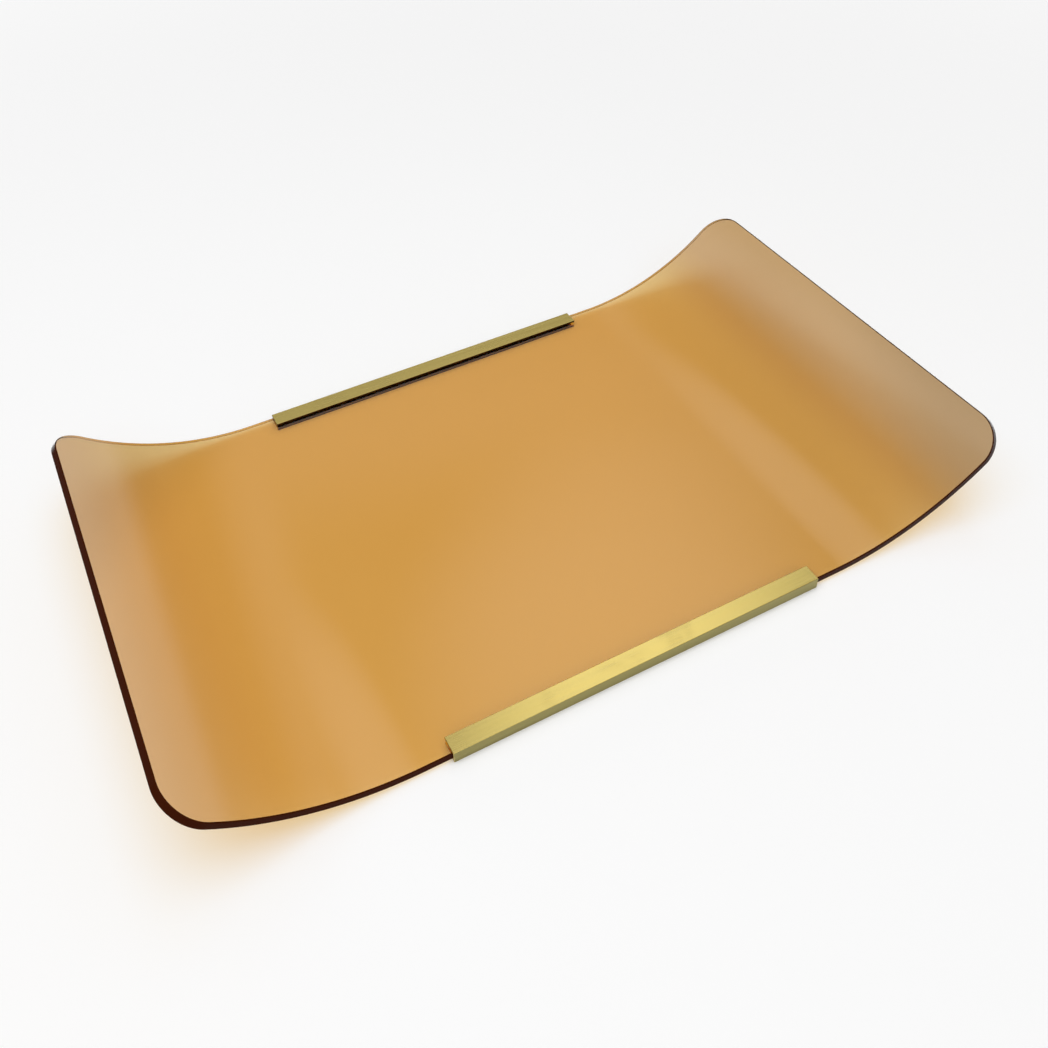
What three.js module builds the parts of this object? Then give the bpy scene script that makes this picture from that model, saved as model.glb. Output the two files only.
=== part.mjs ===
// Bent acrylic tray with a brass channel on the middle of each long edge.
//
// One blank of amber acrylic with rounded corners is heat-formed, so that its middle stays flat and
// both ends sweep up on the same radius. A straight U-section of brass is pushed over each long edge,
// where the sheet is flat, and an adhesive film in its slot holds it. The tray stands on the two brass
// sections. Millimetres, +Z up, +X along the tray. The origin is under the middle of the tray, on the
// surface that it stands on.

import * as THREE from 'three';
import { mergeVertices } from 'three/addons/utils/BufferGeometryUtils.js';

// The sheet
const SHEET_WIDTH = 300;
const SHEET_THICKNESS = 5;
const FLAT_LENGTH = 272; // between the two bend lines
const BEND_RADIUS = 163; // of the upper, inner face
const BEND_ANGLE = THREE.MathUtils.degToRad(48); // turned by each end
const CORNER_RADIUS = 23; // cut in the blank before it is bent
const EDGE_EASE = 0.6; // radius left on both arrises by polishing

// The brass sections
const CHANNEL_WALL = 1.5;
const CHANNEL_LEG = 11.5; // from the back of the web to the tip of a flange
const CHANNEL_SETBACK = 16; // from each bend line to the end of the brass
const CHANNEL_ARRIS = 0.4; // radius on the long outer edges
const CHANNEL_END_EASE = 0.2; // deburring of the two sawn ends

// The adhesive
const BOND_THICKNESS = 0.1; // on all three faces of the slot
const BOND_SETBACK = 1.2; // kept back from the brass edges, so that none squeezes out

// Fineness of the round forms
const BEND_STEP = THREE.MathUtils.degToRad(2.5);
const CORNER_STEPS = 10;
const EASE_STEPS = 3;
const ARRIS_DIVISIONS = 2;
const END_EASE_STEPS = 2;

// Heights, from the standing surface up
const SLOT_FLOOR = CHANNEL_WALL;
const SHEET_BOTTOM = SLOT_FLOOR + BOND_THICKNESS;
const SHEET_TOP = SHEET_BOTTOM + SHEET_THICKNESS;
const SLOT_CEILING = SHEET_TOP + BOND_THICKNESS;
const CHANNEL_TOP = SLOT_CEILING + CHANNEL_WALL;

// Distances from the middle plane, across the tray
const SHEET_EDGE = SHEET_WIDTH / 2;
const WEB_INSIDE = SHEET_EDGE + BOND_THICKNESS;
const WEB_OUTSIDE = WEB_INSIDE + CHANNEL_WALL;
const FLANGE_TIP = WEB_OUTSIDE - CHANNEL_LEG;

// Lengths along the tray. Bending keeps the length of the middle of the sheet's thickness.
const NEUTRAL_RADIUS = BEND_RADIUS + SHEET_THICKNESS / 2;
const BENT_LENGTH = NEUTRAL_RADIUS * BEND_ANGLE;
const BLANK_LENGTH = FLAT_LENGTH + 2 * BENT_LENGTH;
const CHANNEL_LENGTH = FLAT_LENGTH - 2 * CHANNEL_SETBACK;

const acrylic = new THREE.MeshStandardMaterial({
  color: 0xd4a057,
  roughness: 0.06,
  metalness: 0,
  transparent: true,
  opacity: 0.8,
  flatShading: true,
});

const brass = new THREE.MeshStandardMaterial({
  color: 0xcdb562,
  roughness: 0.35,
  metalness: 1,
  flatShading: true,
});

const adhesive = new THREE.MeshStandardMaterial({
  color: 0xe6dcc0,
  roughness: 0.2,
  metalness: 0,
  transparent: true,
  opacity: 0.5,
  flatShading: true,
});

// Where a point of the flat blank lies once the sheet is formed. along is its place on the blank's
// length, and height is measured through the sheet from its lower face.
function bend(along, across, height) {
  const past = Math.max(Math.abs(along) - FLAT_LENGTH / 2, 0);
  const turn = past / NEUTRAL_RADIUS;
  const radius = BEND_RADIUS + SHEET_THICKNESS - height;
  const bentX = FLAT_LENGTH / 2 + radius * Math.sin(turn);
  const x = past > 0 ? Math.sign(along) * bentX : along;
  const lift = past > 0 ? radius * (1 - Math.cos(turn)) : 0;
  return new THREE.Vector3(x, across, SHEET_BOTTOM + height + lift);
}

// One quarter of the blank's outline, drawn in from its true edge by inset. It runs from the middle of
// the end round the corner to the start of the flat middle, as points of place along and place across.
function quarterOutline(inset) {
  const points = [];
  const centre = new THREE.Vector2(BLANK_LENGTH / 2 - CORNER_RADIUS, SHEET_EDGE - CORNER_RADIUS);
  const radius = CORNER_RADIUS - inset;
  for (let step = 0; step <= CORNER_STEPS; step += 1) {
    const angle = (Math.PI / 2) * (step / CORNER_STEPS);
    points.push(new THREE.Vector2(radius * Math.cos(angle), radius * Math.sin(angle)).add(centre));
  }
  const straight = centre.x - FLAT_LENGTH / 2;
  const steps = Math.ceil(straight / (NEUTRAL_RADIUS * BEND_STEP));
  for (let step = 1; step <= steps; step += 1) {
    points.push(new THREE.Vector2(centre.x - straight * (step / steps), SHEET_EDGE - inset));
  }
  return points;
}

// One long side of the outline, from end to end: a quarter and its mirror image.
function sideOutline(inset) {
  const quarter = quarterOutline(inset);
  const mirrored = quarter.map((point) => new THREE.Vector2(-point.x, point.y)).reverse();
  return [...quarter, ...mirrored];
}

// The polished edge, as rings of inset and height from the lower face to the upper one.
function edgeProfile() {
  const rings = [];
  for (let step = 0; step <= EASE_STEPS; step += 1) {
    const angle = (Math.PI / 2) * (step / EASE_STEPS);
    rings.push({
      inset: EDGE_EASE * (1 - Math.sin(angle)),
      height: EDGE_EASE * (1 - Math.cos(angle)),
    });
  }
  const upper = rings.map((ring) => ({ inset: ring.inset, height: SHEET_THICKNESS - ring.height }));
  return [...rings, ...upper.reverse()];
}

// The formed sheet. Every ring of the edge profile is one closed outline of the blank. Neighbouring
// rings are joined by the edge faces, and the first and last ring by strips across the sheet, which
// stay straight because the sheet bends along its length only.
function sheetGeometry() {
  const vertices = [];
  const triangles = [];
  const quad = (a, b, c, d) => triangles.push(a, b, c, a, c, d);

  const rings = edgeProfile().map(({ inset, height }) => {
    const side = sideOutline(inset);
    const left = side.map((point) => [point.x, point.y]);
    const right = side.map((point) => [point.x, -point.y]).reverse();
    return [...left, ...right].map(([along, across]) => {
      vertices.push(...bend(along, across, height).toArray());
      return vertices.length / 3 - 1;
    });
  });

  const count = rings[0].length;
  for (let level = 1; level < rings.length; level += 1) {
    const lower = rings[level - 1];
    const upper = rings[level];
    for (let i = 0; i < count; i += 1) {
      const next = (i + 1) % count;
      quad(lower[i], lower[next], upper[next], upper[i]);
    }
  }

  const bottom = rings[0];
  const top = rings[rings.length - 1];
  for (let i = 0; i < count / 2 - 1; i += 1) {
    const across = count - 1 - i;
    quad(top[i], top[i + 1], top[across - 1], top[across]);
    quad(bottom[across], bottom[across - 1], bottom[i + 1], bottom[i]);
  }

  const geometry = new THREE.BufferGeometry();
  geometry.setAttribute('position', new THREE.Float32BufferAttribute(vertices, 3));
  geometry.setIndex(triangles);
  return geometry;
}

// A closed outline through the given corners, each rounded by its own radius.
function roundedShape(corners) {
  const shape = new THREE.Shape();
  corners.forEach((corner, i) => {
    const before = corners[(i + corners.length - 1) % corners.length];
    const after = corners[(i + 1) % corners.length];
    const point = new THREE.Vector2(corner.x, corner.y);
    const toBefore = new THREE.Vector2(before.x, before.y).sub(point).normalize();
    const toAfter = new THREE.Vector2(after.x, after.y).sub(point).normalize();
    if (corner.radius > 0) {
      const halfAngle = Math.acos(toBefore.dot(toAfter)) / 2;
      const reach = corner.radius / Math.tan(halfAngle);
      const start = point.clone().addScaledVector(toBefore, reach);
      const end = point.clone().addScaledVector(toAfter, reach);
      const middle = toBefore.clone().add(toAfter).normalize();
      const centre = point.clone().addScaledVector(middle, corner.radius / Math.sin(halfAngle));
      const startAngle = start.clone().sub(centre).angle();
      const endAngle = end.clone().sub(centre).angle();
      const clockwise = toBefore.cross(toAfter) > 0;
      shape.absarc(centre.x, centre.y, corner.radius, startAngle, endAngle, clockwise);
    } else if (i === 0) {
      shape.moveTo(point.x, point.y);
    } else {
      shape.lineTo(point.x, point.y);
    }
  });
  shape.closePath();
  return shape;
}

// A section drawn across the tray, pushed along the tray and centred on its middle. Its sawn ends are
// eased by endEase, inside its length.
function alongTray(shape, length, endEase) {
  const geometry = new THREE.ExtrudeGeometry(shape, {
    depth: length - 2 * endEase,
    steps: 1,
    curveSegments: ARRIS_DIVISIONS,
    bevelEnabled: endEase > 0,
    bevelThickness: endEase,
    bevelSize: endEase,
    bevelOffset: -endEase,
    bevelSegments: END_EASE_STEPS,
  });
  geometry.translate(0, 0, endEase - length / 2);
  const across = new THREE.Vector3(0, 1, 0);
  const up = new THREE.Vector3(0, 0, 1);
  const along = new THREE.Vector3(1, 0, 0);
  geometry.applyMatrix4(new THREE.Matrix4().makeBasis(across, up, along));
  geometry.deleteAttribute('normal');
  geometry.deleteAttribute('uv');
  return mergeVertices(geometry);
}

// The brass section of one long edge: side is 1 at the rear and -1 at the front.
function channelGeometry(side) {
  const corners = [
    { x: FLANGE_TIP, y: 0, radius: CHANNEL_ARRIS },
    { x: WEB_OUTSIDE, y: 0, radius: CHANNEL_ARRIS },
    { x: WEB_OUTSIDE, y: CHANNEL_TOP, radius: CHANNEL_ARRIS },
    { x: FLANGE_TIP, y: CHANNEL_TOP, radius: CHANNEL_ARRIS },
    { x: FLANGE_TIP, y: SLOT_CEILING, radius: CHANNEL_ARRIS },
    { x: WEB_INSIDE, y: SLOT_CEILING, radius: 0 },
    { x: WEB_INSIDE, y: SLOT_FLOOR, radius: 0 },
    { x: FLANGE_TIP, y: SLOT_FLOOR, radius: CHANNEL_ARRIS },
  ];
  const placed = corners.map((corner) => ({ ...corner, x: side * corner.x }));
  return alongTray(roundedShape(placed), CHANNEL_LENGTH, CHANNEL_END_EASE);
}

// The adhesive film between one channel and the three faces of the sheet that it holds.
function bondGeometry(side) {
  const tip = FLANGE_TIP + BOND_SETBACK;
  const corners = [
    { x: tip, y: SLOT_FLOOR },
    { x: WEB_INSIDE, y: SLOT_FLOOR },
    { x: WEB_INSIDE, y: SLOT_CEILING },
    { x: tip, y: SLOT_CEILING },
    { x: tip, y: SHEET_TOP },
    { x: SHEET_EDGE, y: SHEET_TOP },
    { x: SHEET_EDGE, y: SHEET_BOTTOM },
    { x: tip, y: SHEET_BOTTOM },
  ];
  const placed = corners.map((corner) => ({ ...corner, x: side * corner.x, radius: 0 }));
  return alongTray(roundedShape(placed), CHANNEL_LENGTH - 2 * BOND_SETBACK, 0);
}

function piece(name, geometry, material) {
  const mesh = new THREE.Mesh(geometry, material);
  mesh.name = name;
  return mesh;
}

const tray = new THREE.Group();
tray.name = 'tray';
tray.add(piece('tray_sheet', sheetGeometry(), acrylic));

for (const [end, side] of [['front', -1], ['rear', 1]]) {
  tray.add(piece(`${end}_brass_channel`, channelGeometry(side), brass.clone()));
  tray.add(piece(`${end}_bond_line`, bondGeometry(side), adhesive.clone()));
}

export default tray;
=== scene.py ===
# %% [markdown]
# # A bent acrylic tray with two brass channels
#
# The real object is one sheet of transparent amber acrylic. Its middle stays flat and both ends
# sweep up on the same radius. A straight brass channel is pushed over the middle of each long edge
# and bonded there, and the tray stands on the two channels.
#
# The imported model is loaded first, as a fixed frame. It settles where every piece lies, and the
# pieces made below take its place to the eye.

# %% Load the frame
from math import cos, pi, radians, sin

import bmesh
import bpy
from mathutils import Matrix, Vector


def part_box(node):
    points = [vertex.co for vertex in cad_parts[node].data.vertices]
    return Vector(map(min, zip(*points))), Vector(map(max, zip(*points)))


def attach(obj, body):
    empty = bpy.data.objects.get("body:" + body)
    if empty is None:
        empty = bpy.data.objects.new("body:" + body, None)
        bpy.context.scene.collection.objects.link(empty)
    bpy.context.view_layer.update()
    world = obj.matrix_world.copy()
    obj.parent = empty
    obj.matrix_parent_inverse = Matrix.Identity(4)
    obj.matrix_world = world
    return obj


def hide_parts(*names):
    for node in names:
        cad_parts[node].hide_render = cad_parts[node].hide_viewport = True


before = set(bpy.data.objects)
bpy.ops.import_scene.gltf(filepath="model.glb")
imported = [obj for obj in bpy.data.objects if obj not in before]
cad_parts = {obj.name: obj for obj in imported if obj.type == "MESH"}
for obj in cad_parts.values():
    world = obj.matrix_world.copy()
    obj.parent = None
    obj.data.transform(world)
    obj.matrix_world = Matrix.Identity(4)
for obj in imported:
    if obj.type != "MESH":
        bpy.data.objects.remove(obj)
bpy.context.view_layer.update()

print("frame nodes:", sorted(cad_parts))

# %% [markdown]
# ## The sizes
#
# All lengths are in metres. The tray is measured from the surface that it stands on, so the sheet's
# lower face lies one brass wall and one film of adhesive above zero. Bending keeps the length of the
# middle of the thickness, so the flat blank is worked out on that line.

# %% Name the sizes
SHEET_WIDTH = 0.300
SHEET_THICKNESS = 0.005
FLAT_LENGTH = 0.272
BEND_RADIUS = 0.163
BEND_ANGLE = radians(48)
CORNER_RADIUS = 0.023
EDGE_EASE = 0.0006

CHANNEL_WALL = 0.0015
CHANNEL_LEG = 0.0115
CHANNEL_LENGTH = 0.240
CHANNEL_ARRIS = 0.0003
BOND_GAP = 0.0001

SHEET_BOTTOM = CHANNEL_WALL + BOND_GAP
SHEET_TOP = SHEET_BOTTOM + SHEET_THICKNESS
SHEET_MIDDLE = SHEET_BOTTOM + SHEET_THICKNESS / 2
SLOT_CEILING = SHEET_TOP + BOND_GAP
CHANNEL_TOP = SLOT_CEILING + CHANNEL_WALL
WEB_INSIDE = SHEET_WIDTH / 2 + BOND_GAP
WEB_OUTSIDE = WEB_INSIDE + CHANNEL_WALL
FLANGE_TIP = WEB_OUTSIDE - CHANNEL_LEG
BENT_LENGTH = (BEND_RADIUS + SHEET_THICKNESS / 2) * BEND_ANGLE
BLANK_LENGTH = FLAT_LENGTH + 2 * BENT_LENGTH
print("blank: %.1f x %.1f mm" % (BLANK_LENGTH * 1000, SHEET_WIDTH * 1000))

# %% [markdown]
# ## The camera
#
# The photograph looks down on the tray from its front left. The camera's place and lens come from
# fitting the tray's outline, and its frame is moved down a little with shift, which turns nothing.
# The camera also leans by about two degrees, so its matrix is built from the direction that it looks
# back along and that lean.

# %% Place the camera
PHOTO_SIZE = 1048
FOCAL_PIXELS = 1091.316
FRAME_DROP_PIXELS = 120
SENSOR_WIDTH = 36
CAMERA_DISTANCE = 0.775698
CAMERA_AZIMUTH = radians(-26.47)
CAMERA_ELEVATION = radians(41.585)
CAMERA_LEAN = radians(-2.116)
CAMERA_TARGET = Vector((0.041484, 0.075049, SHEET_TOP))

back = Vector((
    sin(CAMERA_AZIMUTH) * cos(CAMERA_ELEVATION),
    -cos(CAMERA_AZIMUTH) * cos(CAMERA_ELEVATION),
    sin(CAMERA_ELEVATION),
))
right = (-back).cross(Vector((0, 0, 1))).normalized()
up = right.cross(-back)
leaning_right = cos(CAMERA_LEAN) * right + sin(CAMERA_LEAN) * up
leaning_up = cos(CAMERA_LEAN) * up - sin(CAMERA_LEAN) * right

bpy.ops.object.camera_add()
camera = bpy.context.object
camera.name = "photo_camera"
camera.matrix_world = Matrix.Translation(CAMERA_TARGET + CAMERA_DISTANCE * back) @ Matrix(
    (leaning_right, leaning_up, back)).transposed().to_4x4()
camera.data.sensor_fit = "HORIZONTAL"
camera.data.sensor_width = SENSOR_WIDTH
camera.data.lens = SENSOR_WIDTH * FOCAL_PIXELS / PHOTO_SIZE
camera.data.shift_y = -FRAME_DROP_PIXELS / PHOTO_SIZE
camera.data.clip_start = 0.01
camera.data.clip_end = 50
bpy.context.scene.camera = camera
print("lens %.2f mm, camera at" % camera.data.lens, [round(v, 3) for v in camera.location])

# %% [markdown]
# ## Helpers for working by hand
#
# Loading the frame leaves its nodes selected, and an operator acts on all that is selected. So every
# piece is opened alone, and its faces, edges or vertices are then picked by where they lie or which
# way they face.

# %% Make the helpers
def select_only(piece):
    bpy.ops.object.select_all(action="DESELECT")
    piece.select_set(True)
    bpy.context.view_layer.objects.active = piece


def open_piece(piece):
    select_only(piece)
    bpy.ops.object.mode_set(mode="EDIT")


def close_piece():
    bpy.ops.mesh.select_all(action="SELECT")
    bpy.ops.mesh.normals_make_consistent(inside=False)
    bpy.ops.object.mode_set(mode="OBJECT")


def pick(piece, kind, mode, test):
    """Selects the faces, edges or vertices that pass the test, and returns how many they are."""
    bpy.ops.mesh.select_mode(type=mode)
    bpy.ops.mesh.select_all(action="DESELECT")
    mesh = bmesh.from_edit_mesh(piece.data)
    chosen = [part for part in getattr(mesh, kind) if test(part)]
    for part in chosen:
        part.select_set(True)
    mesh.select_flush_mode()
    bmesh.update_edit_mesh(piece.data)
    return len(chosen)


def fix_size(piece, size):
    piece.scale = size
    bpy.ops.object.transform_apply(location=True, rotation=True, scale=True)


def apply_modifier(piece, modifier):
    select_only(piece)
    bpy.ops.object.modifier_apply(modifier=modifier.name)


def even_shading(piece):
    """Smooth shading that the large faces lead, so that only the small rounded edges turn."""
    select_only(piece)
    bpy.ops.object.shade_smooth()
    weighted = piece.modifiers.new("even_shading", "WEIGHTED_NORMAL")
    weighted.mode = "FACE_AREA"
    weighted.weight = 100
    apply_modifier(piece, weighted)


# %% [markdown]
# ## The blank of the sheet
#
# A workshop cuts the blank flat, rounds its four corners and polishes the edge before it bends the
# sheet. The same order works here. A plane gets its corners from a vertex bevel. Cuts right across it
# then give narrow strips, so that the sheet can bend along its length: one cut through every point of
# the rounded corners and one for each degree or so of the bends. Strips that run from edge to edge
# keep the bent surface free of bumps.

# %% Cut the blank
CORNER_SEGMENTS = 24
BEND_STATIONS = 44
FLAT_STATIONS = 8

bpy.ops.object.select_all(action="DESELECT")
bpy.ops.mesh.primitive_plane_add(size=1, location=(0, 0, SHEET_BOTTOM + EDGE_EASE))
sheet = bpy.context.object
sheet.name = "formed_amber_sheet"
fix_size(sheet, (BLANK_LENGTH, SHEET_WIDTH, 1))

open_piece(sheet)
bpy.ops.mesh.select_all(action="SELECT")
bpy.ops.mesh.bevel(
    offset_type="OFFSET", offset=CORNER_RADIUS, segments=CORNER_SEGMENTS, profile=0.5,
    affect="VERTICES")

corner_start = BLANK_LENGTH / 2 - CORNER_RADIUS
stations = [corner_start + CORNER_RADIUS * sin(pi / 2 * step / CORNER_SEGMENTS)
            for step in range(CORNER_SEGMENTS)]
stations += [FLAT_LENGTH / 2 + (corner_start - FLAT_LENGTH / 2) * step / BEND_STATIONS
             for step in range(BEND_STATIONS)]
cuts = [side * place for place in stations for side in (-1, 1)]
cuts += [FLAT_LENGTH * (step / FLAT_STATIONS - 0.5) for step in range(1, FLAT_STATIONS)]
for place in cuts:
    bpy.ops.mesh.select_all(action="SELECT")
    bpy.ops.mesh.bisect(plane_co=(place, 0, 0), plane_no=(1, 0, 0), threshold=1e-6)
print("strips:", len(bmesh.from_edit_mesh(sheet.data).faces))

# %% [markdown]
# ## The thickness and the polished edge
#
# The strips are extruded to the sheet's thickness, less the two rounded arrises. Each arris is then
# made on the flat faces by small insets that also rise, which follow a quarter circle. A bevel would
# slide its new points along the narrow strips and fold over at the corners. Insets go straight in
# from the outline, so the rings stay parallel to it.

# %% Thicken the blank and round its edge
EASE_STEPS = 5


def round_arris(faces_up):
    pick(sheet, "faces", "FACE", lambda face: face.normal.z * (1 if faces_up else -1) > 0.9)
    for step in range(EASE_STEPS):
        start, end = (pi / 2 * (step + more) / EASE_STEPS for more in (0, 1))
        bpy.ops.mesh.inset(
            thickness=EDGE_EASE * (cos(start) - cos(end)),
            depth=EDGE_EASE * (sin(end) - sin(start)),
            use_boundary=True, use_even_offset=True)


bpy.ops.mesh.select_all(action="SELECT")
bpy.ops.mesh.extrude_region_move(
    TRANSFORM_OT_translate={"value": (0, 0, SHEET_THICKNESS - 2 * EDGE_EASE)})
bpy.ops.mesh.select_all(action="SELECT")
bpy.ops.mesh.normals_make_consistent(inside=False)
round_arris(True)
round_arris(False)
close_piece()

rim = sheet.data.attributes.new("rim", "FLOAT", "FACE")
for face, mark in zip(sheet.data.polygons, rim.data):
    mark.value = 1 if abs(face.normal.z) < 0.999 else 0
heights = [vertex.co.z for vertex in sheet.data.vertices]
print("blank from %.2f to %.2f mm" % (min(heights) * 1000, max(heights) * 1000))

# %% [markdown]
# ## The two bends
#
# The real sheet is warmed and laid over a round former, which leaves a bend of one radius. Simple
# Deform's bend does the same: it rolls the mesh up along the local X of its origin object, towards
# that object's local Y. The origin lies on the bend line, in the middle of the thickness, so that
# this line keeps its length. The lower limit is set where local X is zero, which leaves the rest flat.

# %% Bend both ends up
for side in (1, -1):
    bpy.ops.object.empty_add(
        location=(side * FLAT_LENGTH / 2, 0, SHEET_MIDDLE),
        rotation=(pi / 2, 0, 0 if side > 0 else pi))
    bend_line = bpy.context.object
    past = [side * vertex.co.x - FLAT_LENGTH / 2 for vertex in sheet.data.vertices]
    bend = sheet.modifiers.new("bend", "SIMPLE_DEFORM")
    bend.deform_method = "BEND"
    bend.deform_axis = "Z"
    bend.origin = bend_line
    bend.angle = BEND_ANGLE
    bend.limits = (-min(past) / (max(past) - min(past)), 1)
    bpy.context.view_layer.update()
    apply_modifier(sheet, bend)
    bpy.data.objects.remove(bend_line)

even_shading(sheet)
low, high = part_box("tray_sheet")
print("sheet in mm:", [
    [round(pick_end(vertex.co[axis] for vertex in sheet.data.vertices) * 1000, 2)
     for pick_end in (min, max)] for axis in range(3)])
print("frame in mm:", [[round(low[axis] * 1000, 2), round(high[axis] * 1000, 2)]
                       for axis in range(3)])

# %% [markdown]
# ## The brass channels
#
# Such a channel is bought as a drawn U-section and sawn to length. It is modelled the way it is
# drawn on paper: a bar for the web, cut at the two faces of the slot, with the upper and lower bands
# pulled out as flanges. Real brass has no knife edges, so a small bevel goes on every outside corner.
# The corners inside the slot stay sharp. The film of adhesive has the same shape, so one function
# makes both. The rear pieces are copies, turned half a turn about the middle of the tray.

# %% Make a U-section
def u_section(name, web_inside, web_outside, tip, low, high, wall, length):
    bpy.ops.object.select_all(action="DESELECT")
    bpy.ops.mesh.primitive_cube_add(
        size=1, location=(0, -(web_inside + web_outside) / 2, (low + high) / 2))
    section = bpy.context.object
    section.name = name
    fix_size(section, (length, web_outside - web_inside, high - low))
    open_piece(section)
    for height in (low + wall, high - wall):
        bpy.ops.mesh.select_all(action="SELECT")
        bpy.ops.mesh.bisect(plane_co=(0, 0, height), plane_no=(0, 0, 1), threshold=1e-7)

    def is_flange_root(face):
        height = face.calc_center_median().z
        return face.normal.y > 0.9 and not low + wall < height < high - wall

    pick(section, "faces", "FACE", is_flange_root)
    bpy.ops.mesh.extrude_region_move(
        TRANSFORM_OT_translate={"value": (0, web_inside - tip, 0)})
    bpy.ops.mesh.select_all(action="SELECT")
    bpy.ops.mesh.dissolve_limited(angle_limit=radians(1))
    close_piece()
    return section


def break_edges(section, width):
    open_piece(section)
    count = pick(
        section, "edges", "EDGE", lambda edge: edge.calc_face_angle_signed() > radians(60))
    bpy.ops.mesh.bevel(offset=width, segments=3, profile=0.5, affect="EDGES")
    close_piece()
    print(section.name, "edges broken:", count)


def rear_copy(section, name):
    select_only(section)
    bpy.ops.object.duplicate(linked=False)
    copy = bpy.context.object
    copy.name = name
    copy.rotation_euler = (0, 0, pi)
    bpy.ops.object.transform_apply(location=True, rotation=True, scale=True)
    return copy


# %% Make the brass channels
front_channel = u_section(
    "front_brass_section", WEB_INSIDE, WEB_OUTSIDE, FLANGE_TIP, 0, CHANNEL_TOP, CHANNEL_WALL,
    CHANNEL_LENGTH)
break_edges(front_channel, CHANNEL_ARRIS)
even_shading(front_channel)
rear_channel = rear_copy(front_channel, "rear_brass_section")

# %% [markdown]
# ## The adhesive
#
# The film fills the slot between the brass and the sheet. It is drawn a hair thinner than the gap,
# because two faces in the same place flicker, and it stays back from the tips of the flanges, where
# a careful maker wipes off what squeezes out.

# %% Make the adhesive films
FILM_CLEARANCE = 0.00002
FILM_SETBACK = 0.0012
FILM_THICKNESS = BOND_GAP - 2 * FILM_CLEARANCE

front_film = u_section(
    "front_adhesive_film", SHEET_WIDTH / 2 + FILM_CLEARANCE, WEB_INSIDE - FILM_CLEARANCE,
    FLANGE_TIP + FILM_SETBACK, CHANNEL_WALL + FILM_CLEARANCE, SLOT_CEILING - FILM_CLEARANCE,
    FILM_THICKNESS, CHANNEL_LENGTH - 2 * FILM_SETBACK)
rear_film = rear_copy(front_film, "rear_adhesive_film")
print("films:", front_film.name, rear_film.name, "%.2f mm thick" % (FILM_THICKNESS * 1000))

# %% [markdown]
# ## Shared marks of handling
#
# Polished acrylic and bare brass both pick up faint smears where fingers and cloths have been. A
# node group makes one mask of soft patches broken up by fine wiping streaks, and each material
# decides how strongly it shows. The first cell holds the small helpers that all materials share.

# %% Make the helpers for materials
def add_node(tree, kind, values=(), **settings):
    """Adds a shader node, with its settings by name and its inputs by name or number."""
    made = tree.nodes.new("ShaderNode" + kind)
    for name, value in settings.items():
        setattr(made, name, value)
    for socket, value in dict(values).items():
        made.inputs[socket].default_value = value
    return made


def combine(tree, operation, first, second):
    made = add_node(tree, "Math", operation=operation)
    tree.links.new(first, made.inputs[0])
    tree.links.new(second, made.inputs[1])
    return made.outputs["Value"]


def remap(tree, value, start, end, low=0, high=1, **settings):
    """Turns start into low and end into high, and holds both beyond them."""
    made = add_node(tree, "MapRange", {
        "From Min": start, "From Max": end, "To Min": low, "To Max": high}, **settings)
    tree.links.new(value, made.inputs["Value"])
    return made.outputs["Result"]


def new_material(name):
    material = bpy.data.materials.new(name)
    material.use_nodes = True
    tree = material.node_tree
    tree.nodes.clear()
    output = tree.nodes.new("ShaderNodeOutputMaterial")
    position = tree.nodes.new("ShaderNodeTexCoord").outputs["Object"]
    return material, tree, output, position


# %% Build the group of handling marks
PATCHES_PER_METRE = 14
PATCH_EDGES = (0.5, 0.72)  # where a patch begins, and where it is full
WIPING_DIRECTION = radians(32)
WIPING_SCALE = (30, 420, 60)


def handling_marks_group():
    tree = bpy.data.node_groups.new("handling_marks", "ShaderNodeTree")
    tree.interface.new_socket("Position", in_out="INPUT", socket_type="NodeSocketVector")
    size = tree.interface.new_socket(
        "Patches per metre", in_out="INPUT", socket_type="NodeSocketFloat")
    size.default_value = PATCHES_PER_METRE
    tree.interface.new_socket("Mask", in_out="OUTPUT", socket_type="NodeSocketFloat")
    entry = tree.nodes.new("NodeGroupInput")
    leave = tree.nodes.new("NodeGroupOutput")
    link = tree.links.new
    patches = add_node(tree, "TexNoise", {"Detail": 3, "Roughness": 0.55, "Distortion": 0.6})
    link(entry.outputs["Position"], patches.inputs["Vector"])
    link(entry.outputs["Patches per metre"], patches.inputs["Scale"])
    soft = remap(tree, patches.outputs["Fac"], *PATCH_EDGES, interpolation_type="SMOOTHSTEP")
    turned = add_node(tree, "Mapping", {
        "Rotation": (0, 0, WIPING_DIRECTION), "Scale": WIPING_SCALE})
    link(entry.outputs["Position"], turned.inputs["Vector"])
    streaks = add_node(tree, "TexNoise", {"Scale": 1, "Detail": 4, "Roughness": 0.6})
    link(turned.outputs["Vector"], streaks.inputs["Vector"])
    link(combine(tree, "MULTIPLY", soft, streaks.outputs["Fac"]), leave.inputs["Mask"])
    return tree


handling_marks = handling_marks_group()
print("group:", handling_marks.name, "nodes:", len(handling_marks.nodes))


def place_marks(tree, position, patches_per_metre):
    marks = tree.nodes.new("ShaderNodeGroup")
    marks.node_tree = handling_marks
    marks.inputs["Patches per metre"].default_value = patches_per_metre
    tree.links.new(position, marks.inputs["Position"])
    return marks.outputs["Mask"]

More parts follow.
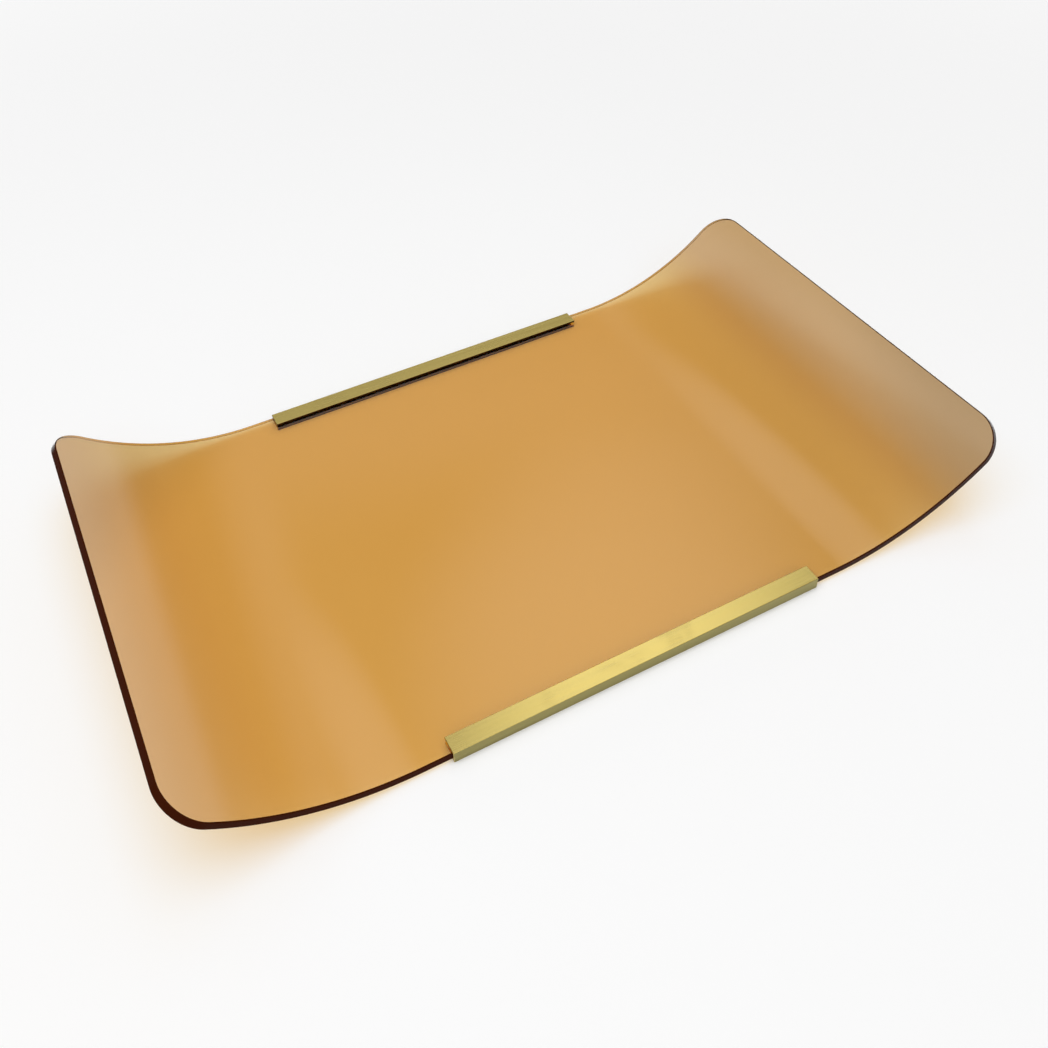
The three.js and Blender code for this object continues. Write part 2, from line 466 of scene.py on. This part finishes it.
# %% [markdown]
# ## Amber acrylic
#
# Acrylic is coloured all through, so the colour belongs to the volume and not to the surface. A thin
# look through the faces is light amber, and a long look in through an edge is dark red-brown, from
# the same few numbers. The surface is clear and glossy. It carries faint smears and a very slight
# waviness, because heated sheet is never perfectly flat.
#
# Seen from outside, the edge is another matter. Light that enters there is trapped between the faces
# and comes out of it only after a long way through the colour, so the edge looks nearly opaque and
# dark red-brown. It gets a shader of its own for that, with a weak reddish gloss. From inside, or at
# a grazing angle, where it mirrors its surroundings, the edge is as clear as the rest.
#
# The renderer does not follow light through clear glass to the floor by itself, so rays that look
# for light pass straight through the surface and are still coloured by the volume.

# %% Find the outer side of the edge
EDGE_FACING = (0.82, 0.55)  # where the edge has turned clear, and where it is dark


def outer_edge(tree):
    """One on the edge where it is seen from outside, and zero at a grazing angle."""
    rim = add_node(tree, "Attribute", attribute_name="rim")
    outside = add_node(tree, "Math", {0: 1}, operation="SUBTRACT")
    tree.links.new(add_node(tree, "NewGeometry").outputs["Backfacing"], outside.inputs[1])
    facing = add_node(tree, "LayerWeight", {"Blend": 0.5}).outputs["Facing"]
    not_grazing = remap(tree, facing, *EDGE_FACING)
    into_it = combine(tree, "MULTIPLY", outside.outputs["Value"], not_grazing)
    return combine(tree, "MULTIPLY", rim.outputs["Fac"], into_it)


def any_ray(tree, *kinds):
    """One for a ray of any of these kinds, and zero for the others."""
    rays = tree.nodes.new("ShaderNodeLightPath")
    found = rays.outputs["Is %s Ray" % kinds[0]]
    for kind in kinds[1:]:
        found = combine(tree, "MAXIMUM", found, rays.outputs["Is %s Ray" % kind])
    return found


def mix_shaders(tree, share, first, second):
    """Shows the first shader where share is zero, and the second where it is one."""
    mixed = tree.nodes.new("ShaderNodeMixShader")
    tree.links.new(share, mixed.inputs["Fac"])
    tree.links.new(first, mixed.inputs[1])
    tree.links.new(second, mixed.inputs[2])
    return mixed.outputs["Shader"]


# %% Make a clear plastic
SURFACE_PASSES = 0.96
EDGE_COLOUR = (0.048, 0.009, 0.0025, 1)
EDGE_GLOSS_TINT = (1, 0.42, 0.22, 1)
EDGE_ROUGHNESS = 0.2
EDGE_IOR = 1.07
WAVES_PER_METRE = 9


def clear_plastic(name, ior, tint, density, roughness, wave_height):
    material, tree, output, position = new_material(name)
    link = tree.links.new
    waves = add_node(tree, "TexNoise", {"Scale": WAVES_PER_METRE, "Detail": 2, "Roughness": 0.4})
    link(position, waves.inputs["Vector"])
    bump = add_node(tree, "Bump", {"Strength": 1, "Distance": wave_height})
    link(waves.outputs["Fac"], bump.inputs["Height"])
    surface = add_node(tree, "BsdfPrincipled", {
        "Base Color": (1, 1, 1, 1), "Metallic": 0, "IOR": ior, "Transmission Weight": 1})
    smears = place_marks(tree, position, PATCHES_PER_METRE)
    link(remap(tree, smears, 0, 1, *roughness), surface.inputs["Roughness"])
    link(bump.outputs["Normal"], surface.inputs["Normal"])

    trapped = add_node(tree, "BsdfPrincipled", {
        "Base Color": EDGE_COLOUR, "Metallic": 0, "Roughness": EDGE_ROUGHNESS, "IOR": EDGE_IOR,
        "Specular Tint": EDGE_GLOSS_TINT})
    plastic = mix_shaders(
        tree, outer_edge(tree), surface.outputs["BSDF"], trapped.outputs["BSDF"])
    passing = add_node(tree, "BsdfTransparent", {
        "Color": (SURFACE_PASSES, SURFACE_PASSES, SURFACE_PASSES, 1)})
    seeking_light = any_ray(tree, "Shadow", "Diffuse")
    shown = mix_shaders(tree, seeking_light, plastic, passing.outputs["BSDF"])
    link(shown, output.inputs["Surface"])
    colour = add_node(tree, "VolumeAbsorption", {"Color": tint, "Density": density})
    link(colour.outputs["Volume"], output.inputs["Volume"])
    return material


# %% Make the amber acrylic and the adhesive
AMBER_TINT = (0.898, 0.661, 0.07, 1)
AMBER_DENSITY = 250
ADHESIVE_TINT = (0.95, 0.9, 0.75, 1)
ADHESIVE_DENSITY = 60

amber_acrylic = clear_plastic(
    "amber_acrylic", ior=1.49, tint=AMBER_TINT, density=AMBER_DENSITY, roughness=(0.01, 0.06),
    wave_height=0.00004)
clear_adhesive = clear_plastic(
    "clear_adhesive", ior=1.48, tint=ADHESIVE_TINT, density=ADHESIVE_DENSITY, roughness=(0.05, 0.2),
    wave_height=0.00002)
print("materials:", amber_acrylic.name, clear_adhesive.name)

# %% [markdown]
# ## Brushed brass
#
# The channels are brushed along their length. Fine streaks, far longer than wide, change the colour
# a little, the roughness more, and the height by a few hundredths of a millimetre. The arrises are
# burnished by handling, so they are smoother and lighter. A mask finds them where the surface turns
# away from the three main directions. The upright web is painted darker than the flanges, as painted
# shade for the darker table in front that it mirrors. The tips of the flanges, which face the middle
# of the tray, and the sawn ends are painted dark too, as painted shade.

# %% Brush the brass
FINE_STREAKS = (22, 2600, 2600)
BROAD_STREAKS = (9, 420, 420)


def brushing(tree, position):
    """Fine and broad streaks along the tray, added up to a value between about 0.6 and 1.4."""
    def streaks(scale, detail):
        stretch = add_node(tree, "Mapping", {"Scale": scale})
        noise = add_node(tree, "TexNoise", {"Scale": 1, "Detail": detail, "Roughness": 0.65})
        tree.links.new(position, stretch.inputs["Vector"])
        tree.links.new(stretch.outputs["Vector"], noise.inputs["Vector"])
        return noise.outputs["Fac"]

    return combine(tree, "ADD", streaks(FINE_STREAKS, 3), streaks(BROAD_STREAKS, 4))


# %% Tell the faces of a channel apart
# Painted shade: how far the sawn ends are darkened
SAWN_END_SHADE_SHARE = 0.85


def channel_masks(tree, position):
    """Masks of the arrises, of the upright web, and of the flange tips and sawn ends, the last two for
    painted shade.
    """
    normal = add_node(tree, "SeparateXYZ")
    tree.links.new(add_node(tree, "NewGeometry").outputs["Normal"], normal.inputs["Vector"])
    place = add_node(tree, "SeparateXYZ")
    tree.links.new(position, place.inputs["Vector"])
    sizes = {}
    for axis in ("X", "Y", "Z"):
        size = add_node(tree, "Math", operation="ABSOLUTE")
        tree.links.new(normal.outputs[axis], size.inputs[0])
        sizes[axis] = size.outputs["Value"]

    largest = combine(tree, "MAXIMUM", combine(tree, "MAXIMUM", sizes["X"], sizes["Y"]), sizes["Z"])
    arris = remap(tree, largest, 0.99, 0.86)
    web = remap(tree, sizes["Y"], 0.8, 0.97)
    sawn = remap(tree, sizes["X"], 0.8, 0.97, high=SAWN_END_SHADE_SHARE)
    outward = combine(tree, "MULTIPLY", normal.outputs["Y"], place.outputs["Y"])
    tip = remap(tree, outward, -0.06, -0.13)
    return arris, web, combine(tree, "MAXIMUM", tip, sawn)


# %% Make the brushed brass
BRASS_LIGHT = (0.84, 0.67, 0.22, 1)
BRASS_DARK = (0.68, 0.52, 0.15, 1)
# Painted shade: the tint that darkens the upright web, for the darker table that it mirrors
WEB_PAINTED_SHADE = (0.39, 0.43, 0.45, 1)
# Painted shade: the dark tint on the flange tips and sawn ends
TIP_AND_END_PAINTED_SHADE = (0.16, 0.08, 0.04, 1)
BRASS_ROUGHNESS = (0.15, 0.29)
ARRIS_ROUGHNESS = 0.16
SMEAR_ROUGHNESS = 0.12
BRASS_PATCHES_PER_METRE = 22
BRUSHING_DEPTH = 0.00003


def tinted(tree, share, base, tint):
    """Multiplies a colour by a tint, as far as the share says."""
    made = add_node(tree, "Mix", {7: tint}, data_type="RGBA", blend_type="MULTIPLY")
    tree.links.new(share, made.inputs["Factor"])
    tree.links.new(base, made.inputs[6])
    return made.outputs[2]


def brushed_brass_material():
    material, tree, output, position = new_material("brushed_brass")
    link = tree.links.new
    brushed = brushing(tree, position)
    arris, web, tip_and_end_shade = channel_masks(tree, position)

    colour = add_node(tree, "Mix", {6: BRASS_DARK, 7: BRASS_LIGHT}, data_type="RGBA")
    link(remap(tree, brushed, 0.6, 1.3), colour.inputs["Factor"])
    # Painted shade darkens the upright web
    web_shaded = tinted(tree, web, colour.outputs[2], WEB_PAINTED_SHADE)

    smeared = add_node(tree, "Math", {1: SMEAR_ROUGHNESS}, operation="MULTIPLY_ADD")
    link(place_marks(tree, position, BRASS_PATCHES_PER_METRE), smeared.inputs[0])
    link(remap(tree, brushed, 0.6, 1.4, *BRASS_ROUGHNESS), smeared.inputs[2])
    burnished = add_node(tree, "Mix", {"B": ARRIS_ROUGHNESS})
    link(arris, burnished.inputs["Factor"])
    link(smeared.outputs["Value"], burnished.inputs["A"])

    bump = add_node(tree, "Bump", {"Strength": 0.5, "Distance": BRUSHING_DEPTH})
    link(brushed, bump.inputs["Height"])
    surface = add_node(tree, "BsdfPrincipled", {"Metallic": 1})
    # Painted shade darkens the flange tips and sawn ends
    link(tinted(tree, tip_and_end_shade, web_shaded, TIP_AND_END_PAINTED_SHADE), surface.inputs["Base Color"])
    link(burnished.outputs["Result"], surface.inputs["Roughness"])
    link(bump.outputs["Normal"], surface.inputs["Normal"])
    link(surface.outputs["BSDF"], output.inputs["Surface"])
    return material


brushed_brass = brushed_brass_material()
print("material:", brushed_brass.name)

# %% [markdown]
# ## Join the pieces to the frame
#
# Each piece rides on the tray's one body, takes the place of the frame's node of the same part, and
# gets its material.

# %% Give each piece its place and material
PIECES = (
    (sheet, "tray_sheet", "amber_acrylic", amber_acrylic),
    (front_channel, "front_brass_channel", "brushed_brass", brushed_brass),
    (rear_channel, "rear_brass_channel", "brushed_brass", brushed_brass),
    (front_film, "front_bond_line", "clear_adhesive", clear_adhesive),
    (rear_film, "rear_bond_line", "clear_adhesive", clear_adhesive),
)
for piece, node, slot, material in PIECES:
    piece.data.materials.clear()
    piece.data.materials.append(material)
    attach(piece, "root")
    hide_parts(node)
    print(piece.name, "faces:", len(piece.data.polygons))

# %% [markdown]
# ## The floor
#
# A white table goes under the tray. Its true shade lights the tray's underside, and the eye, the
# brass and the acrylic see it a little whiter. The tray's shadow stays on it. Further out, where no
# shadow falls, the table turns into the same white as the background, so that it has no visible end.
#
# A clear sheet is judged by what shows through it. So, through the sheet only, the table is painted
# greyer beyond the flat middle, as painted shade of the tray's raised ends, and the two ends look as
# subdued as they do on the real tray. A painted fall of light also darkens it a little there towards
# the near right corner and the far left one.

# %% Work out how the table looks through the sheet
# Painted shade: through the sheet, the table under both ends is tinted greyer, and painted falls of
# light darken it further
GREYER_START = 0.2
GREYER_END = 0.27
GREYER_TINT = (0.8, 0.73, 0.83, 1)
# Each fall of the light: how much X and Y count, where it starts and ends, and the share kept
FALLS = (
    (1, -0.5, 0.04, 0.24, 0.87),  # the right of the tray
    (1, -0.5, 0.26, 0.35, 0.78),  # its near right corner
    (-0.8, 1, 0.24, 0.34, 0.8),  # its far left corner
)


def light_kept(tree, position, across, deep, start, end, share):
    """One before the fall of the light starts, and the share that is kept after its end."""
    towards = add_node(tree, "VectorMath", {1: (across, deep, 0)}, operation="DOT_PRODUCT")
    tree.links.new(position, towards.inputs[0])
    return remap(tree, towards.outputs["Value"], start, end, 1, share,
                 interpolation_type="SMOOTHSTEP")


def through_sheet(tree, position, shade):
    """The table's shade, and for rays that passed the sheet, with the painted falls of light and the
    painted shade on the greyer ends.
    """
    passed = any_ray(tree, "Transmission")
    kept = light_kept(tree, position, *FALLS[0])
    for fall in FALLS[1:]:
        kept = combine(tree, "MULTIPLY", kept, light_kept(tree, position, *fall))
    light = add_node(tree, "Mix", {"A": 1.0})
    tree.links.new(passed, light.inputs["Factor"])
    tree.links.new(kept, light.inputs["B"])
    spot = add_node(tree, "SeparateXYZ")
    tree.links.new(position, spot.inputs["Vector"])
    along = add_node(tree, "Math", operation="ABSOLUTE")
    tree.links.new(spot.outputs["X"], along.inputs[0])
    under_ends = remap(tree, along.outputs["Value"], GREYER_START, GREYER_END,
                       interpolation_type="SMOOTHSTEP")
    lit = combine(tree, "MULTIPLY", shade, light.outputs["Result"])
    return tinted(tree, combine(tree, "MULTIPLY", under_ends, passed), lit, GREYER_TINT)


# %% Lay the floor
FLOOR_SIZE = 12
TABLE_SHADE = 0.8
SEEN_SHADE = 0.97
FADE_START = 0.4
FADE_END = 1.5

bpy.ops.object.select_all(action="DESELECT")
bpy.ops.mesh.primitive_plane_add(size=FLOOR_SIZE, location=(0, 0, 0))
floor = bpy.context.object
floor.name = "white_table"
table_white, tree, output, position = new_material("table_white")
seen = any_ray(tree, "Camera", "Glossy", "Transmission")
shade = remap(tree, seen, 0, 1, TABLE_SHADE, SEEN_SHADE)
matt = tree.nodes.new("ShaderNodeBsdfDiffuse")
tree.links.new(through_sheet(tree, position, shade), matt.inputs["Color"])
reach = add_node(tree, "VectorMath", operation="LENGTH")
tree.links.new(position, reach.inputs[0])
far_out = remap(tree, reach.outputs["Value"], FADE_START, FADE_END,
                interpolation_type="SMOOTHSTEP")
glow = add_node(tree, "Emission", {"Strength": SEEN_SHADE})
table = mix_shaders(
    tree, combine(tree, "MULTIPLY", far_out, seen), matt.outputs["BSDF"], glow.outputs["Emission"])
tree.links.new(table, output.inputs["Surface"])
floor.data.materials.append(table_white)
print("floor:", floor.name, "%.0f m wide" % FLOOR_SIZE)

# %% [markdown]
# ## The light
#
# The photograph was taken in soft light from above and behind. A pale room gives part of it: nearly
# white at the height of the table, dark above that, with a pale band higher up that the brass and the
# acrylic mirror, and dull above it up to a pale ceiling. It is duller on the side of the camera. A
# wide soft lamp overhead adds the rest. The tray mirrors the ceiling in its place, because the lamp
# would show there with hard edges. A soft bright window behind is what makes the near channel shine
# in its middle, and a wider one in front does the same for the other side. A dark doorway at the
# rear left keeps the left edge of the sheet dark.

# %% Paint the room
ROOM_GREYS = (
    (0.0, 1.0), (0.2, 0.9), (0.34, 0.12), (0.52, 0.16), (0.67, 0.7), (0.75, 0.25), (0.88, 0.25),
    (0.96, 0.95))
CAMERA_SIDE = (-0.7, 0.3)  # from the dull side of the room to its full brightness
CAMERA_SIDE_GREY = 0.45

world = bpy.data.worlds.new("pale_room")
bpy.context.scene.world = world
world.use_nodes = True
tree = world.node_tree
tree.nodes.clear()
direction = tree.nodes.new("ShaderNodeTexCoord").outputs["Generated"]
height = add_node(tree, "SeparateXYZ")
tree.links.new(direction, height.inputs["Vector"])
walls = tree.nodes.new("ShaderNodeValToRGB")
walls.color_ramp.interpolation = "EASE"
for step, (place, grey) in enumerate(ROOM_GREYS):
    stop = walls.color_ramp.elements[0] if step == 0 else walls.color_ramp.elements.new(place)
    stop.position = place
    stop.color = (grey, grey, grey, 1)
walls.color_ramp.elements.remove(walls.color_ramp.elements[-1])
tree.links.new(height.outputs["Z"], walls.inputs["Fac"])
depth = remap(tree, height.outputs["Y"], *CAMERA_SIDE, low=CAMERA_SIDE_GREY)
room = combine(tree, "MULTIPLY", walls.outputs["Color"], depth)
print("wall stops:", [
    (round(stop.position, 2), round(stop.color[0], 2)) for stop in walls.color_ramp.elements])

# %% Add the windows and the doorway
REAR_WINDOW = {
    "towards": (0.33, 0.478, 0.814), "inner_degrees": 2, "outer_degrees": 13, "radiance": 1.15}
FRONT_WINDOW = {
    "towards": (-0.1, -0.66, 0.74), "inner_degrees": 8, "outer_degrees": 34, "radiance": 0.9}
DARK_DOORWAY = {
    "towards": (-0.76, 0.65, 0.02), "inner_degrees": 14, "outer_degrees": 38, "radiance": -0.85}


def soft_window(total, towards, inner_degrees, outer_degrees, radiance):
    """Adds a bright or dark patch with soft edges to the room, and returns the new total."""
    facing = add_node(
        tree, "VectorMath", {1: Vector(towards).normalized()}, operation="DOT_PRODUCT")
    tree.links.new(direction, facing.inputs[0])
    patch = remap(
        tree, facing.outputs["Value"], cos(radians(outer_degrees)), cos(radians(inner_degrees)),
        high=radiance, interpolation_type="SMOOTHSTEP")
    return combine(tree, "ADD", total, patch)


for opening in (REAR_WINDOW, FRONT_WINDOW, DARK_DOORWAY):
    room = soft_window(room, **opening)
    print("opening towards", opening["towards"], "radiance", opening["radiance"])

plain = add_node(tree, "Mix", {"B": 1.0})
tree.links.new(any_ray(tree, "Camera", "Transmission"), plain.inputs["Factor"])
tree.links.new(room, plain.inputs["A"])
sky = add_node(tree, "Background", {"Color": (1, 1, 1, 1)})
output = tree.nodes.new("ShaderNodeOutputWorld")
tree.links.new(plain.outputs["Result"], sky.inputs["Strength"])
tree.links.new(sky.outputs["Background"], output.inputs["Surface"])

# %% Hang the lamp
LAMP_PLACE = (-0.6, -0.22, 3.0)
LAMP_WIDTH = 4.2
LAMP_LENGTH = 2.3
LAMP_RADIANCE = 2.2

bpy.ops.object.light_add(type="AREA", location=LAMP_PLACE)
lamp = bpy.context.object
lamp.name = "overhead_lamp"
lamp.data.shape = "RECTANGLE"
lamp.data.size = LAMP_WIDTH
lamp.data.size_y = LAMP_LENGTH
lamp.data.energy = LAMP_RADIANCE * pi * LAMP_WIDTH * LAMP_LENGTH
lamp.visible_glossy = False
lamp.visible_transmission = False
print(lamp.name, "%.2f W" % lamp.data.energy)

# %% [markdown]
# ## Colour
#
# The Standard view shows colours as they are written.

# %% Finish
bpy.context.scene.view_settings.view_transform = "Standard"
